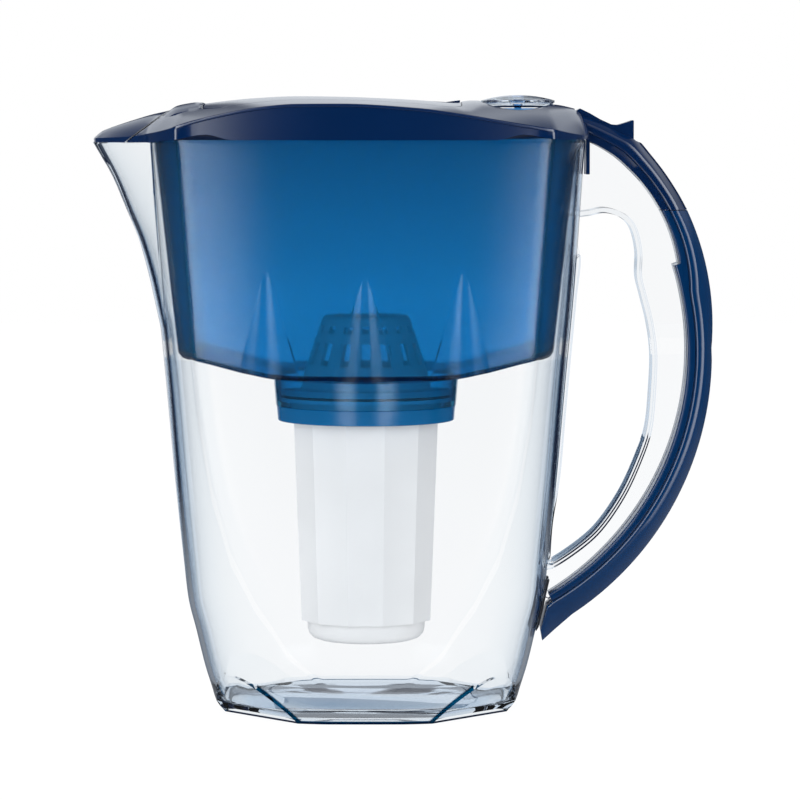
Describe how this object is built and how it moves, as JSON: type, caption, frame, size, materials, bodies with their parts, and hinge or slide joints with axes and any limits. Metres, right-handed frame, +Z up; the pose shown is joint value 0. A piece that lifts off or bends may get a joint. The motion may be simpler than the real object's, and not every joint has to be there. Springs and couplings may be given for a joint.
{
  "type": "water filter pitcher",
  "caption": "Clear jug with a strap handle, a blue hopper, a filter cartridge and a navy lid with flip hatch, spout flap, dial and thumb slide.",
  "frame": {"origin": "on the table, in the middle of the jug's foot, under the cartridge's axis", "axes": "+Z up, +X towards the handle, -X towards the spout, -Y the front panel"},
  "size_m": [0.2634, 0.1188, 0.2615],
  "materials": {
    "clear_jug": "clear polished plastic with a slight blue tint",
    "navy_lid": "glossy navy plastic",
    "blue_grip": "glossy dark blue plastic",
    "hopper_blue": "translucent blue plastic",
    "collar_blue": "translucent blue plastic",
    "white_plastic": "satin white plastic",
    "seal_rubber": "soft rubber",
    "screen": "fine woven screen",
    "filter_bed": "black and amber granules",
    "clear_dome": "clear polished plastic",
    "dial_blue": "glossy bright blue plastic",
    "steel": "drawn wire"
  },
  "bodies": {
    "pitcher": {"jug_body": "clear_jug", "handle_cover": "blue_grip", "handle_liner": "blue_grip", "handle_catch": "navy_lid"},
    "hopper": {"funnel": "hopper_blue", "neck_ring": "collar_blue"},
    "cartridge": {"cartridge_can": "white_plastic", "cartridge_base": "white_plastic", "cartridge_cap": "white_plastic", "cartridge_seal": "seal_rubber", "outlet_mesh": "screen", "inlet_mesh": "screen", "filter_media": "filter_bed"},
    "lid": {"lid_frame": "navy_lid", "dial_disc": "dial_blue", "dial_pin": "dial_blue", "flip_lid_pin": "steel", "spout_flap_pin": "steel"},
    "hatch": {"flip_lid": "navy_lid"},
    "flap": {"spout_flap": "navy_lid"},
    "dial": {"dial_dome": "clear_dome"},
    "slide": {"thumb_slide": "navy_lid", "slide_spring": "steel"}
  },
  "joints": [
    {"name": "hopper_lift", "type": "slide", "parent": "pitcher", "child": "hopper", "axis": [0, 0, 1], "range_m": [0, 0.25]},
    {"name": "cartridge_lift", "type": "slide", "parent": "hopper", "child": "cartridge", "axis": [0, 0, 1], "range_m": [0, 0.08]},
    {"name": "lid_lift", "type": "slide", "parent": "hopper", "child": "lid", "axis": [0, 0, 1], "range_m": [0, 0.12]},
    {"name": "flip_lid_hinge", "type": "hinge", "parent": "lid", "child": "hatch", "pos_m": [-0.072, 0, 0.2549], "axis": [0, -1, 0], "range_deg": [0, 95]},
    {"name": "spout_flap_hinge", "type": "hinge", "parent": "lid", "child": "flap", "pos_m": [-0.0832, 0, 0.2535], "axis": [0, 1, 0], "range_deg": [0, 50]},
    {"name": "dial_turn", "type": "hinge", "parent": "lid", "child": "dial", "pos_m": [0.0645, 0, 0.256], "axis": [0, 0, 1], "continuous": true},
    {"name": "thumb_slide_travel", "type": "slide", "parent": "lid", "child": "slide", "axis": [0.9205, 0, -0.3907], "range_m": [0, 0.004], "stiffness_N_per_m": 150, "springref_m": -0.002}
  ]
}
